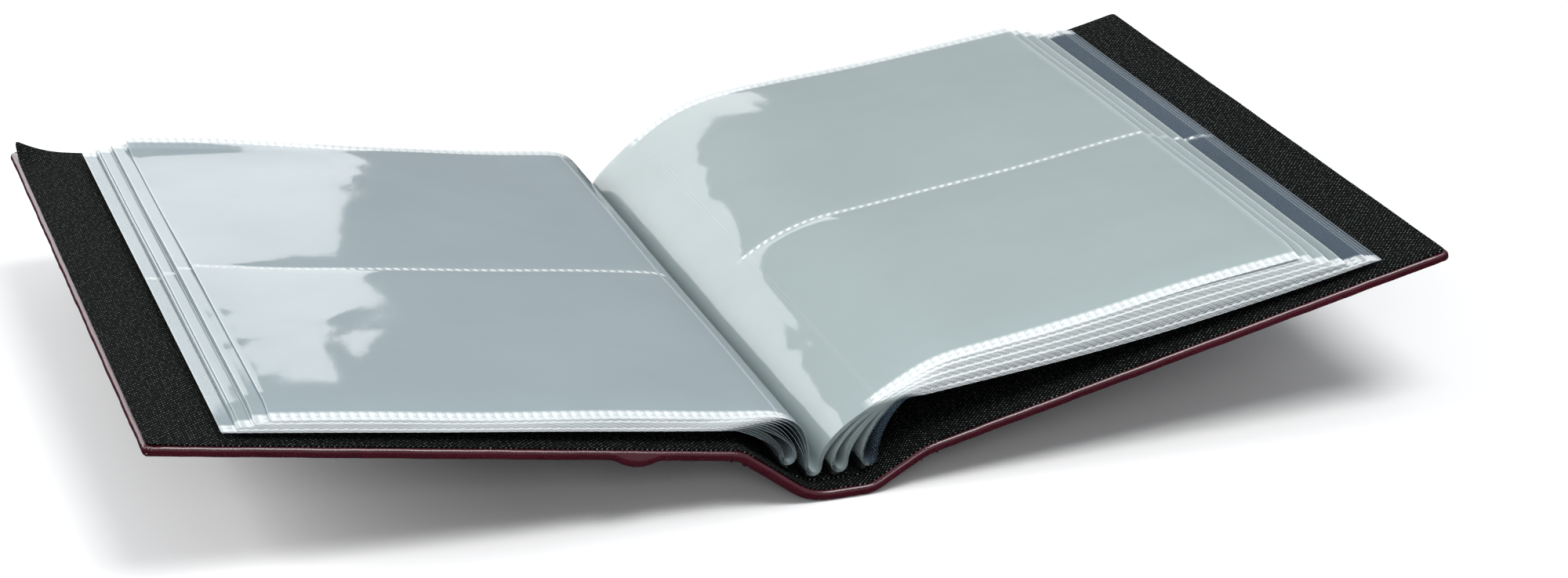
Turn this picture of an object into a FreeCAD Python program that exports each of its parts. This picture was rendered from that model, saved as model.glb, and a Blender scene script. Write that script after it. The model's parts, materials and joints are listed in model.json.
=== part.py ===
import FreeCAD, Part
import math
import os
from FreeCAD import Vector

# Two-row pocket album, lying open on its rounded spine.
# Origin: centre of the spine's resting face.  +X towards the back cover's
# fore-edge, +Y towards the head, +Z up.  Millimetres and degrees throughout.

# Overall sizes
bookHeight = 240.0          # head to foot, covers and spine alike
coverWidth = 167.0          # cover hinge line to fore-edge
frontSlope = 9.1            # rest slope of the front cover above level
backSlope = 13.2            # rest slope of the back cover above level

# Layers of the case, from the inside out
liningThickness = 0.4       # woven cloth lining
boardThickness = 1.7        # greyboard in the covers, flexible card in the spine
foamThickness = 0.9         # padding under the leatherette
skinThickness = 0.6         # leatherette
turnIn = 12.0               # leatherette folded over the inner edge of the board
liningMargin = 1.0          # leatherette left showing round the lining
cornerRadius = 2.5          # fore-edge corners of the covers, seen in plan
edgeRadius = 1.2            # outer edge of the padded leatherette
hingeHalf = 3.0             # bare leatherette and lining on each side of a hinge line

caseThickness = liningThickness + boardThickness + foamThickness + skinThickness
foamTop = liningThickness + boardThickness
skinTop = foamTop + foamThickness

# Spine trough, measured on its lining surface
troughFloorLeft = -6.9      # start of the flat floor
troughFloorRight = 10.4     # end of the flat floor
frontBend = 14.0            # lining radius where the front flank meets the floor
backBend = 6.0              # lining radius where the back flank meets the floor
frontHingeX = -27.2
frontHingeRise = 15.7       # front hinge line above the trough floor
backHingeX = 27.0
backHingeRise = 9.3         # back hinge line above the trough floor

# Raised band on the front cover
bandStart = 24.1            # from the front hinge line
bandWidth = 13.7
bandHeight = 2.4

# Film sheets
filmThickness = 0.06
pocketGap = 0.04            # air between the two films of an empty pocket
sheetsPerSection = 4
leafMargin = 6.0            # cover left bare above and below the leaves
leafShift = -1.0            # film block sits slightly towards the foot
weldWidth = 3.0             # dotted weld along foot, middle and head
foreEdgeWeld = 1.6          # folded fore-edge of a leaf
mouthSetback = 6.0          # pocket mouth, from the leaf's bend
pivotGap = 0.3              # film left out on each side of a leaf's bend line
leafThickness = 2 * filmThickness + pocketGap
leafHeight = bookHeight - 2 * leafMargin

# Each stack of leaves: side, number of leaves, then for its lowest and its topmost
# leaf the bend line, the rise of the flat of the leaf above its bend, how much
# shorter than the cover it is, and the height of its fore-edge above the lining.
leftStack = {
    "side": -1, "count": 12,
    "lowBend": (-26.5, 23.0), "topBend": (-9.5, 22.4),
    "lowRise": 0.3, "topRise": 2.9, "shoulderRun": 2.0,
    "lowInset": 20.5, "topInset": 17.0,
    "lowEnd": 1.763, "topEnd": 6.142,
}
rightStack = {
    "side": 1, "count": 20,
    "lowBend": (22.0, 25.4), "topBend": (8.9, 24.2),
    "lowRise": 0.3, "topRise": 9.6, "shoulderRun": 2.05,
    "lowInset": 16.5, "topInset": 27.0,
    "lowEnd": 2.064, "topEnd": 10.538,
}
shortestShoulder = 1.5

# Folded sections on the binding
tapeThickness = 0.5
tapeReach = 5.5             # tape beyond the flat floor, on each side
tapeMargin = 2.0            # tape stops short of the leaves' head and foot
foldX = [-12.7, -5.1, 2.7, 11.6]
foldClearance = 2.2         # underside of a section above the tape
foldHalfWidth = 0.8
foldBelly = 2.6             # height of a folded section's bulge above its fold
foldFlare = 0.7             # width that the bulge adds on each side
nestStep = 0.32             # one folded sheet inside the next
glueHalfWidth = 1.1
glueInset = 1.5             # glue line stops short of the tape's ends
tapeHeight = leafHeight - 2 * tapeMargin


# Plane geometry helpers
def unit(a, b):
    """Direction from plane point a to plane point b."""
    length = math.hypot(b[0] - a[0], b[1] - a[1])
    return ((b[0] - a[0]) / length, (b[1] - a[1]) / length)


def ahead(point, direction, distance):
    """Point reached from a plane point along a direction."""
    return (point[0] + distance * direction[0], point[1] + distance * direction[1])


def slopeDirection(side, slope):
    """Direction away from the spine, raised by a slope in degrees."""
    return (side * math.cos(math.radians(slope)), math.sin(math.radians(slope)))


def offsetCorners(points, depth):
    """Corners of a chain of lines moved by depth to the right of its travel."""
    moved = []
    for i, point in enumerate(points):
        before = unit(points[i - 1], point) if i > 0 else unit(point, points[i + 1])
        after = unit(point, points[i + 1]) if i < len(points) - 1 else before
        share = depth / (1.0 + before[0] * after[0] + before[1] * after[1])
        moved.append((point[0] + share * (before[1] + after[1]),
                      point[1] - share * (before[0] + after[0])))
    return moved


def space(point, y=0.0):
    return Vector(point[0], y, point[1])


def pathEdges(points, bends, depth):
    """Lines and tangent arcs of a path, moved by depth below the lining surface.

    bends gives the arc radius on the lining surface at each inner corner.
    """
    corners = offsetCorners(points, depth)
    edges = []
    start = corners[0]
    for i in range(1, len(corners) - 1):
        before = unit(corners[i - 1], corners[i])
        after = unit(corners[i], corners[i + 1])
        cross = before[0] * after[1] - before[1] * after[0]
        turn = math.asin(abs(cross))
        radius = bends[i - 1] + math.copysign(depth, cross)
        tangent = radius * math.tan(turn / 2)
        arcStart = ahead(corners[i], before, -tangent)
        arcEnd = ahead(corners[i], after, tangent)
        inward = unit((0, 0), (after[0] - before[0], after[1] - before[1]))
        middle = ahead(corners[i], inward, radius / math.cos(turn / 2) - radius)
        if math.dist(start, arcStart) > 1e-4:
            edges.append(Part.LineSegment(space(start), space(arcStart)).toShape())
        edges.append(Part.Arc(space(arcStart), space(middle), space(arcEnd)).toShape())
        start = arcEnd
    if math.dist(start, corners[-1]) > 1e-4:
        edges.append(Part.LineSegment(space(start), space(corners[-1])).toShape())
    return edges


def extrudeAlong(face, length, middle=0.0):
    """Solid of a plane section carried along Y, centred on middle."""
    face.translate(Vector(0, middle - length / 2, 0))
    return face.extrude(Vector(0, length, 0))


def layer(points, bends, top, bottom, length, middle=0.0):
    """One layer of the case between two depths below the lining surface."""
    upper = pathEdges(points, bends, top)
    lower = pathEdges(points, bends, bottom)
    startCap = Part.LineSegment(upper[0].Vertexes[0].Point, lower[0].Vertexes[0].Point)
    endCap = Part.LineSegment(upper[-1].Vertexes[-1].Point, lower[-1].Vertexes[-1].Point)
    ordered = Part.__sortEdges__(upper + lower + [startCap.toShape(), endCap.toShape()])
    return extrudeAlong(Part.Face(Part.Wire(ordered)), length, middle)


def walk(points, start, end=None):
    """The part of a chain of lines between two distances along it."""
    kept = []
    gone = 0.0
    for a, b in zip(points, points[1:]):
        length = math.dist(a, b)
        if not kept and gone + length > start:
            kept.append(ahead(a, unit(a, b), start - gone))
        if end is not None and gone + length >= end:
            kept.append(ahead(a, unit(a, b), end - gone))
            return kept
        if kept:
            kept.append(b)
        gone += length
    return kept


def ribbon(points, low, high, length, middle=0.0):
    """Flat-faced strip round a chain of lines, from low to high on its left."""
    outline = offsetCorners(points, -low) + offsetCorners(points, -high)[::-1]
    wire = Part.makePolygon([space(p) for p in outline + outline[:1]])
    return extrudeAlong(Part.Face(wire), length, middle)


# Places worked out from the sizes
floorLevel = caseThickness
frontHinge = (frontHingeX, floorLevel + frontHingeRise)
backHinge = (backHingeX, floorLevel + backHingeRise)
floorLeft = (troughFloorLeft, floorLevel)
floorRight = (troughFloorRight, floorLevel)
spineStart = ahead(frontHinge, unit(frontHinge, floorLeft), hingeHalf)
spineEnd = ahead(backHinge, unit(backHinge, floorRight), hingeHalf)
spinePath = [spineStart, floorLeft, floorRight, spineEnd]
spineBends = [frontBend, backBend]


def wrappedSkin(points, bends):
    """Leatherette over a curved run: outer sheet, head and foot walls, turn-ins."""
    pieces = [layer(points, bends, skinTop, caseThickness, bookHeight)]
    for end in (-1, 1):
        wallMiddle = end * (bookHeight - skinThickness) / 2
        lipMiddle = end * (bookHeight - turnIn) / 2
        pieces.append(layer(points, bends, liningThickness, caseThickness,
                            skinThickness, wallMiddle))
        pieces.append(layer(points, bends, liningThickness,
                            liningThickness + skinThickness, turnIn, lipMiddle))
    return pieces[0].multiFuse(pieces[1:]).removeSplitter()


def spineCase():
    """Leatherette, padding, card and lining of the trough-shaped spine."""
    inside = bookHeight - 2 * skinThickness
    card = layer(spinePath, spineBends, liningThickness + skinThickness, foamTop, inside)
    crown = layer(spinePath, spineBends, liningThickness,
                  liningThickness + skinThickness, bookHeight - 2 * turnIn)
    return {
        "spine_skin": wrappedSkin(spinePath, spineBends),
        "spine_foam": layer(spinePath, spineBends, foamTop, skinTop, inside),
        "spine_card": card.fuse(crown).removeSplitter(),
        "spine_lining": layer(spinePath, spineBends, 0, liningThickness,
                              bookHeight - 2 * liningMargin),
    }


def livingHinge(name, points):
    """Bare leatherette and lining that bend along a hinge line."""
    turn = math.acos(sum(a * b for a, b in zip(unit(*points[:2]), unit(*points[1:]))))
    bends = [hingeHalf / math.tan(turn / 2)]
    return {
        name + "_hinge_skin": wrappedSkin(points, bends),
        name + "_hinge_lining": layer(points, bends, 0, liningThickness,
                                      bookHeight - 2 * liningMargin),
    }


def livingHinges():
    frontOut = ahead(frontHinge, slopeDirection(-1, frontSlope), hingeHalf)
    backOut = ahead(backHinge, slopeDirection(1, backSlope), hingeHalf)
    hinges = livingHinge("front", [frontOut, frontHinge, spineStart])
    hinges.update(livingHinge("back", [spineEnd, backHinge, backOut]))
    return hinges


# Covers, modelled level with the hinge line at the origin
def panel(margin, depthTop, depthBottom, radius, start=hingeHalf):
    """Flat layer of a cover with its two fore-edge corners rounded."""
    width = coverWidth - margin - start
    height = bookHeight - 2 * margin
    box = Part.makeBox(width, height, depthBottom - depthTop,
                       Vector(start, -height / 2, -depthBottom))
    corners = [e for e in box.Edges
               if abs(e.CenterOfMass.x - (start + width)) < 1e-6
               and abs(abs(e.CenterOfMass.y) - height / 2) < 1e-6]
    return box.makeFillet(radius, corners) if radius > 0 else box


def softenOuterEdge(shape):
    """Round the outer edge of the padded leatherette on its three free sides."""
    bottom = [e for e in shape.Edges
              if abs(e.CenterOfMass.z + caseThickness) < 1e-6
              and e.CenterOfMass.x > hingeHalf + 1e-3]
    return shape.makeFillet(edgeRadius, bottom)


def coverSkin():
    outer = softenOuterEdge(panel(0, liningThickness, caseThickness, cornerRadius))
    filling = panel(skinThickness, liningThickness + skinThickness, skinTop,
                    cornerRadius - skinThickness)
    window = panel(turnIn, liningThickness, liningThickness + skinThickness, 0)
    return outer.cut(filling).cut(window)


def coverBoard():
    """Board with a shallow rebate that takes the turned-in leatherette."""
    sheet = panel(skinThickness, liningThickness + skinThickness, foamTop,
                  cornerRadius - skinThickness)
    crown = panel(turnIn, liningThickness, liningThickness + skinThickness, 0)
    return sheet.fuse(crown).removeSplitter()


def coverLayers():
    inner = cornerRadius - skinThickness
    return {
        "cover_skin": coverSkin(),
        "cover_foam": panel(skinThickness, foamTop, skinTop, inner),
        "cover_board": coverBoard(),
        "cover_lining": panel(liningMargin, 0, liningThickness,
                              cornerRadius - liningMargin),
    }


def raisedBand():
    """Low rounded strip down the outside of the front cover, beside the spine."""
    halfWidth = bandWidth / 2
    centre = bandStart + halfWidth
    outline = [Vector(centre - halfWidth, 0, -caseThickness),
               Vector(centre, 0, -caseThickness - bandHeight),
               Vector(centre + halfWidth, 0, -caseThickness)]
    arc = Part.Arc(*outline).toShape()
    chord = Part.LineSegment(outline[2], outline[0]).toShape()
    face = Part.Face(Part.Wire([arc, chord]))
    return extrudeAlong(face, bookHeight)


def tilted(shape, side, slope, hinge):
    """Move a level piece to its hinge or bend line and its rest slope."""
    placed = shape.copy()
    if side < 0:
        placed = placed.mirror(Vector(0, 0, 0), Vector(1, 0, 0))
    placed.rotate(Vector(0, 0, 0), Vector(0, 1, 0), -side * slope)
    placed.translate(space(hinge))
    return placed


def covers():
    pieces = {}
    for name, shape in coverLayers().items():
        pieces["front_" + name] = tilted(shape, -1, frontSlope, frontHinge)
        pieces["back_" + name] = tilted(shape, 1, backSlope, backHinge)
    pieces["front_cover_band"] = tilted(raisedBand(), -1, frontSlope, frontHinge)
    return pieces


# Film leaves
def leafSlope(stack, which):
    """Slope that brings the fore-edge of a stack's low or top leaf to its height."""
    front = stack["side"] < 0
    hinge, coverSlope = (frontHinge, frontSlope) if front else (backHinge, backSlope)
    bend = stack[which + "Bend"]
    rise = stack[which + "Rise"]
    length = coverWidth - stack[which + "Inset"]
    outward = slopeDirection(1, coverSlope)
    bendHeight = ((bend[1] - hinge[1]) * outward[0]
                  - stack["side"] * (bend[0] - hinge[0]) * outward[1])
    climb = math.asin((stack[which + "End"] - bendHeight) / math.hypot(length, rise))
    return coverSlope + math.degrees(climb - math.atan2(rise, length))


def stackPlace(stack, level):
    """Bend point, rise, length and slope of the leaf at a level of its stack."""
    share = level / (stack["count"] - 1)

    def between(low, top):
        return low + share * (top - low)

    bend = tuple(between(a, b) for a, b in zip(stack["lowBend"], stack["topBend"]))
    return {
        "bend": bend,
        "rise": between(stack["lowRise"], stack["topRise"]),
        "length": coverWidth - between(stack["lowInset"], stack["topInset"]),
        "slope": between(leafSlope(stack, "low"), leafSlope(stack, "top")),
    }


def pocketRows():
    """Height and middle of the two pockets, foot row first."""
    height = (leafHeight - 3 * weldWidth) / 2
    offset = (height + weldWidth) / 2
    return [(height, leafShift - offset), (height, leafShift + offset)]


def filmLeaf(stack, level):
    """Two films welded along foot, middle, head and fore-edge, open at the spine."""
    place = stackPlace(stack, level)
    shoulder = max(place["rise"] * stack["shoulderRun"], shortestShoulder)
    line = walk([(0, 0), (shoulder, place["rise"]), (place["length"], place["rise"])],
                pivotGap)
    total = sum(math.dist(a, b) for a, b in zip(line, line[1:]))
    mouth = mouthSetback - pivotGap
    half = filmThickness / 2
    leaf = ribbon(line, -half, half, leafHeight, leafShift)
    upper = ribbon(walk(line, mouth), half, leafThickness - half, leafHeight, leafShift)
    leaf = leaf.fuse(upper).removeSplitter()
    inside = walk(line, mouth - 1, total - foreEdgeWeld)
    for height, middle in pocketRows():
        leaf = leaf.cut(ribbon(inside, half, half + pocketGap, height, middle))
    return tilted(leaf, stack["side"], place["slope"], place["bend"])


def levelOfLeaf(leafNumber):
    """Stack and level of a leaf, counted from the front cover."""
    if leafNumber <= leftStack["count"]:
        return leftStack, leafNumber - 1
    return rightStack, leftStack["count"] + rightStack["count"] - leafNumber


def filmLeaves():
    leaves = {}
    for number in range(1, leftStack["count"] + rightStack["count"] + 1):
        stack, level = levelOfLeaf(number)
        leaves["leaf_%02d" % number] = filmLeaf(stack, level)
    return leaves


# Binding
def surfaceLevel(x):
    """Height of the lining surface of the trough at x, bends left out."""
    if x < troughFloorLeft:
        a, b = frontHinge, floorLeft
    elif x > troughFloorRight:
        a, b = floorRight, backHinge
    else:
        return floorLevel
    return a[1] + (x - a[0]) * (b[1] - a[1]) / (b[0] - a[0])


def foldHeight(x):
    """Underside of a folded section at x."""
    return surfaceLevel(x) + tapeThickness + foldClearance


def foldedSection(index):
    """Film between the leaves' bends, folded round the binding, sheet in sheet."""
    x = foldX[index]
    low = foldHeight(x)
    half = filmThickness / 2
    sheets = []
    for nest in range(sheetsPerSection):
        firstLeaf = 2 * index * sheetsPerSection + nest + 1
        lastLeaf = 2 * (index + 1) * sheetsPerSection - nest
        ends = []
        for number in (firstLeaf, lastLeaf):
            stack, level = levelOfLeaf(number)
            ends.append(stackPlace(stack, level)["bend"])
        inner = nest * nestStep
        foot = low + inner
        width = foldHalfWidth + (sheetsPerSection - 1 - nest) * nestStep
        belly = foldBelly + inner
        chain = [ends[0],
                 (x - width - foldFlare, foot + belly),
                 (x - width / 2, foot),
                 (x + width / 2, foot),
                 (x + width + foldFlare, foot + belly),
                 ends[1]]
        total = sum(math.dist(a, b) for a, b in zip(chain, chain[1:]))
        chain = walk(chain, pivotGap, total - pivotGap)
        sheets.append(ribbon(chain, -half, half, leafHeight, leafShift))
    return Part.makeCompound(sheets)


def bindingTape():
    """Cloth tape on the lining, under the folded sections."""
    left = ahead(floorLeft, unit(floorLeft, frontHinge), tapeReach)
    right = ahead(floorRight, unit(floorRight, backHinge), tapeReach)
    return layer([left, floorLeft, floorRight, right], spineBends,
                 -tapeThickness, 0, tapeHeight, leafShift)


def bindingGlue():
    """A bead of glue between the tape and each folded section."""
    beads = []
    length = tapeHeight - 2 * glueInset
    below = layer(spinePath, spineBends, -tapeThickness, caseThickness, bookHeight)
    for x in foldX:
        top = foldHeight(x) - filmThickness / 2
        box = Part.makeBox(2 * glueHalfWidth, length, top,
                           Vector(x - glueHalfWidth, leafShift - length / 2, 0))
        bead = box.cut(below)
        beads.append(max(bead.Solids, key=lambda solid: solid.CenterOfMass.z))
    return Part.makeCompound(beads)


def binding():
    pieces = {"binding_tape": bindingTape(), "binding_glue": bindingGlue()}
    for index in range(len(foldX)):
        pieces["section_%d_folds" % (index + 1)] = foldedSection(index)
    return pieces


def main():
    os.makedirs("parts", exist_ok=True)
    pieces = {}
    for group in (spineCase(), livingHinges(), covers(), binding(), filmLeaves()):
        pieces.update(group)
    for node, shape in pieces.items():
        shape.exportStep("parts/" + node + ".step")
    print(len(pieces), "nodes written")


main()
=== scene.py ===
import json
import math
import bpy
import numpy as np
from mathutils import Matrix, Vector


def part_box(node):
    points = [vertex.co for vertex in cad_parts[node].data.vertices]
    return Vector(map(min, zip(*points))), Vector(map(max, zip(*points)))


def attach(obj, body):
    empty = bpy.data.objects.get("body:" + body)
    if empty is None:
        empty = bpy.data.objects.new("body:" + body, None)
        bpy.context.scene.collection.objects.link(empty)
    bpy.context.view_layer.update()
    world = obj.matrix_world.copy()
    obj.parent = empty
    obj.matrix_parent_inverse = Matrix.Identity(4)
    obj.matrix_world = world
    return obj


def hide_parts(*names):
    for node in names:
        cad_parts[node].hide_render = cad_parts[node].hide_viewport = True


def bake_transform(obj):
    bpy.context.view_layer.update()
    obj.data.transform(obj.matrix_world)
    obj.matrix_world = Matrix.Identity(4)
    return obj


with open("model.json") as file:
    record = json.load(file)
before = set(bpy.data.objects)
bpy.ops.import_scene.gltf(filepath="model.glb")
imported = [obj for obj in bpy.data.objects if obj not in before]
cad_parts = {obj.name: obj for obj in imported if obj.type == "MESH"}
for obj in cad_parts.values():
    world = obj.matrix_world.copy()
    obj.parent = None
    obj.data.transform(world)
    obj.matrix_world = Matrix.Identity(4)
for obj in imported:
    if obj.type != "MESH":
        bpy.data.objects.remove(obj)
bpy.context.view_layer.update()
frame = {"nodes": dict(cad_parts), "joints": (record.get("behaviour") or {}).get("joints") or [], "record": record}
mm = 0.001

joints = {joint["name"]: joint for joint in frame["joints"]}
couplings = {c["joint"]: c for c in frame["record"]["behaviour"]["couplings"]}


# Case layers and the trough of the spine, all measured from the lining surface
caseBook = {
    "thickness": 3.6 * mm,
    "hingeHalf": 3.0 * mm,
    "floorLeft": -6.9 * mm,
    "floorRight": 10.4 * mm,
    "frontBend": 14.0 * mm,
    "backBend": 6.0 * mm,
    "liningThickness": 0.4 * mm,
}
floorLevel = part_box("spine_lining")[0].z + caseBook["liningThickness"]
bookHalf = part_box("spine_skin")[1].y


def unit(v):
    return v / np.linalg.norm(v)


def coverPlace(side, jointName, body):
    # hinge point, outward and upward directions, and width of a cover
    joint = joints[jointName]
    slope = math.radians(90.0 - joint["range_deg"][1])
    hinge = np.array([joint["pos_m"][0], joint["pos_m"][2]])
    out = np.array([side * math.cos(slope), math.sin(slope)])
    up = np.array([-side * math.sin(slope), math.cos(slope)])
    low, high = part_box(body + "_skin")
    reach = (high.x if side > 0 else -low.x) - side * hinge[0]
    width = reach / math.cos(slope)
    return {"side": side, "hinge": hinge, "out": out, "up": up, "width": width}


frontCover = coverPlace(-1, "front_cover_fold", "front_cover")
backCover = coverPlace(1, "back_cover_fold", "back_cover")


# Mesh helpers
def meshPiece(name, points, faces, inside=None):
    # a mesh from points and faces, its faces turned away from the point inside
    mesh = bpy.data.meshes.new(name)
    mesh.from_pydata(points.reshape(-1, 3), [], faces)
    mesh.update()
    if inside is not None:
        turnOutwards(mesh, inside)
    piece = bpy.data.objects.new(name, mesh)
    bpy.context.scene.collection.objects.link(piece)
    return piece


def turnOutwards(mesh, inside):
    normals, centres, areas = (np.zeros(len(mesh.polygons) * size) for size in (3, 3, 1))
    for key, values in (("normal", normals), ("center", centres), ("area", areas)):
        mesh.polygons.foreach_get(key, values)
    away = centres.reshape(-1, 3) - np.array(inside)
    if (areas * (normals.reshape(-1, 3) * away).sum(1)).sum() < 0:
        mesh.flip_normals()
        mesh.update()


def gridFaces(rows, columns, start=0):
    # quads of a grid of rows x columns points
    index = start + np.arange(rows * columns).reshape(rows, columns)
    quads = np.stack([index[:-1, :-1], index[1:, :-1], index[1:, 1:], index[:-1, 1:]], -1)
    return quads.reshape(-1, 4).tolist()


def settle(piece, sharpAngle=38.0):
    # applies the modifiers, then shades smooth with sharp rims
    if piece.modifiers:
        graph = bpy.context.evaluated_depsgraph_get()
        graph.update()
        done = bpy.data.meshes.new_from_object(piece.evaluated_get(graph))
        piece.modifiers.clear()
        piece.data = done
    count = len(piece.data.polygons)
    piece.data.polygons.foreach_set("use_smooth", np.ones(count, bool))
    piece.data.set_sharp_from_angle(angle=math.radians(sharpAngle))
    return piece


def giveThickness(piece, thickness):
    solid = piece.modifiers.new("thickness", "SOLIDIFY")
    solid.thickness = thickness
    solid.offset = -1.0
    solid.use_even_offset = False
    return piece


def putUv(piece, u, v):
    # own UV map in metres, one pair per point
    layer = piece.data.uv_layers.new(name="cloth")
    loops = np.zeros(len(piece.data.loops), np.int32)
    piece.data.loops.foreach_get("vertex_index", loops)
    pairs = np.stack([np.ravel(u)[loops], np.ravel(v)[loops]], -1)
    layer.data.foreach_set("uv", pairs.astype(np.float32).ravel())


def carried(points, y):
    # plane points repeated at each place along the book
    x = np.repeat(points[:, 0][:, None], len(y), 1)
    z = np.repeat(points[:, 1][:, None], len(y), 1)
    return np.stack([x, np.repeat(y[None, :], len(points), 0), z], -1)


def lengthAlong(points):
    # distance from the first point to each point of a chain
    return np.concatenate([[0], np.cumsum(np.linalg.norm(np.diff(points, axis=0), axis=1))])


def smoothStep(low, high, value):
    t = np.clip((value - low) / (high - low), 0, 1)
    return t * t * (3 - 2 * t)


# Run of the case across the spine, as points and upward normals on the lining surface
def roundedRun(corners, radii, spacing):
    # straight runs joined by tangent arcs: an arc that turns by t starts its radius times
    # tan(t / 2) before the corner, and turns the direction evenly
    points, normals = [], []
    start = corners[0]
    for i in range(1, len(corners)):
        along = unit(corners[i] - corners[i - 1])
        end = corners[i]
        if i < len(corners) - 1:
            after = unit(corners[i + 1] - corners[i])
            cross = along[0] * after[1] - along[1] * after[0]
            turn = math.asin(abs(cross))
            end = corners[i] - along * radii[i - 1] * math.tan(turn / 2)
        count = max(2, int(np.linalg.norm(end - start) / spacing) + 1)
        share = np.linspace(0, 1, count)[:, None]
        points.append(start + share * (end - start))
        normals.append(np.tile([-along[1], along[0]], (count, 1)))
        if i < len(corners) - 1:
            base = math.atan2(along[1], along[0])
            sign = math.copysign(1.0, cross)
            angles = base + sign * np.linspace(0, turn, 12)[1:-1]
            across = np.array([-along[1], along[0]]) * sign
            centre = end + across * radii[i - 1]
            radial = np.stack([np.sin(angles), -np.cos(angles)], -1) * sign
            points.append(centre + radial * radii[i - 1])
            normals.append(np.stack([-np.sin(angles), np.cos(angles)], -1))
            start = corners[i] + after * radii[i - 1] * math.tan(turn / 2)
    return np.concatenate(points), np.concatenate(normals)


half = caseBook["hingeHalf"]
floorA = np.array([caseBook["floorLeft"], floorLevel])
floorB = np.array([caseBook["floorRight"], floorLevel])
spineStart = frontCover["hinge"] + half * unit(floorA - frontCover["hinge"])
spineEnd = backCover["hinge"] + half * unit(floorB - backCover["hinge"])
frontOut = frontCover["hinge"] + half * frontCover["out"]
backOut = backCover["hinge"] + half * backCover["out"]


def hingeRadius(before, hinge, after):
    turn = math.acos(np.clip(unit(hinge - before) @ unit(after - hinge), -1, 1))
    return half / math.tan(turn / 2)


runs = {
    "front_hinge": roundedRun([frontOut, frontCover["hinge"], spineStart],
                              [hingeRadius(frontOut, frontCover["hinge"], spineStart)], 1 * mm),
    "spine": roundedRun([spineStart, floorA, floorB, spineEnd],
                        [caseBook["frontBend"], caseBook["backBend"]], 1.6 * mm),
    "back_hinge": roundedRun([spineEnd, backCover["hinge"], backOut],
                             [hingeRadius(spineEnd, backCover["hinge"], backOut)], 1 * mm),
}
print("case runs laid out")


# Leatherette: inset from the edge, depth below the lining surface, share of the flat underside
leatherWork = {
    "edgeRadius": 1.75 * mm,
    "lipDepth": 0.4 * mm,
    "lipRadius": 1.3 * mm,
    "lipReach": 11.0 * mm,
    "thickness": 0.52 * mm,
    "cornerRadius": 2.5 * mm,
    "underInset": 30.0 * mm,
    "ripple": 0.10 * mm,
    "pleat": 0.22 * mm,
    "pleatRate": 18,
    "bandFrom": 24.1 * mm,
    "bandWidth": 13.7 * mm,
    "bandHeight": 2.2 * mm,
}


def edgeProfile():
    # flat underside, rounded outer edge, short wall, rolled lip, then the turn-in
    w = leatherWork
    deep, r, s = caseBook["thickness"], w["edgeRadius"], w["lipRadius"]
    share = np.array([0.02, 0.12, 0.25, 0.4, 0.55, 0.7, 0.82, 0.91, 0.96, 1.0])
    arc = np.radians(np.linspace(0, 90, 9))[1:]
    lip = np.radians(np.linspace(0, 90, 9))
    inset = [np.full(len(share), r), r - r * np.sin(arc), s - s * np.cos(lip),
             np.array([1.8, 2.8, 5.0, 8.0]) * mm, [w["lipReach"]]]
    depth = [np.full(len(share), deep), deep - r + r * np.cos(arc),
             w["lipDepth"] + s - s * np.sin(lip), np.full(4, w["lipDepth"]), [w["lipDepth"]]]
    inset, depth = np.concatenate(inset), np.concatenate(depth)
    shares = np.ones(len(inset))
    shares[:len(share)] = share
    return inset, depth, shares


profileInset, profileDepth, profileShare = edgeProfile()
onEdge = (1 - smoothStep(0.0, 3.5 * mm, profileInset)) * (profileShare >= 1)


def ripple(x, seed):
    # sum of a few long and short waves along the edge, about -1 to 1
    return (0.45 * np.sin(210 * x + seed) + 0.3 * np.sin(470 * x + 2.1 * seed)
            + 0.25 * np.sin(890 * x + 3.7 * seed) + 0.12 * np.sin(1530 * x + seed))


def caseStrip(name, run):
    # edge profile, foot and head alike, carried along a run of the case: each point lies its
    # depth below the run, against the run's normal
    points, normals = run
    insets = np.concatenate([profileInset[::-1], profileInset])
    depths = np.concatenate([profileDepth[::-1], profileDepth])
    shares = np.concatenate([profileShare[::-1], profileShare])
    edges = np.concatenate([onEdge[::-1], onEdge])
    sides = np.repeat([-1.0, 1.0], len(profileInset))
    y = sides * shares * (bookHalf - insets)
    wave = ripple(points[:, 0][:, None], sides[None, :] + 1.5) * edges * leatherWork["ripple"]
    yAll = y[None, :] + sides * wave
    dAll = depths[None, :] + wave * 0.6
    x = points[:, 0][:, None] - dAll * normals[:, 0][:, None]
    z = points[:, 1][:, None] - dAll * normals[:, 1][:, None]
    grid = np.stack([x, yAll, z], -1)
    middle = points.mean(0)
    piece = meshPiece(name, grid, gridFaces(*grid.shape[:2]),
                      (middle[0], 0, middle[1] - 0.5 * mm))
    giveThickness(piece, leatherWork["thickness"])
    return settle(piece)


def bandBump(u):
    # smooth hump across the band, 1 on its crest
    t = (u - leatherWork["bandFrom"]) / leatherWork["bandWidth"] * 2 - 1
    return np.clip(1 - t * t, 0, 1) ** 1.25


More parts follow.
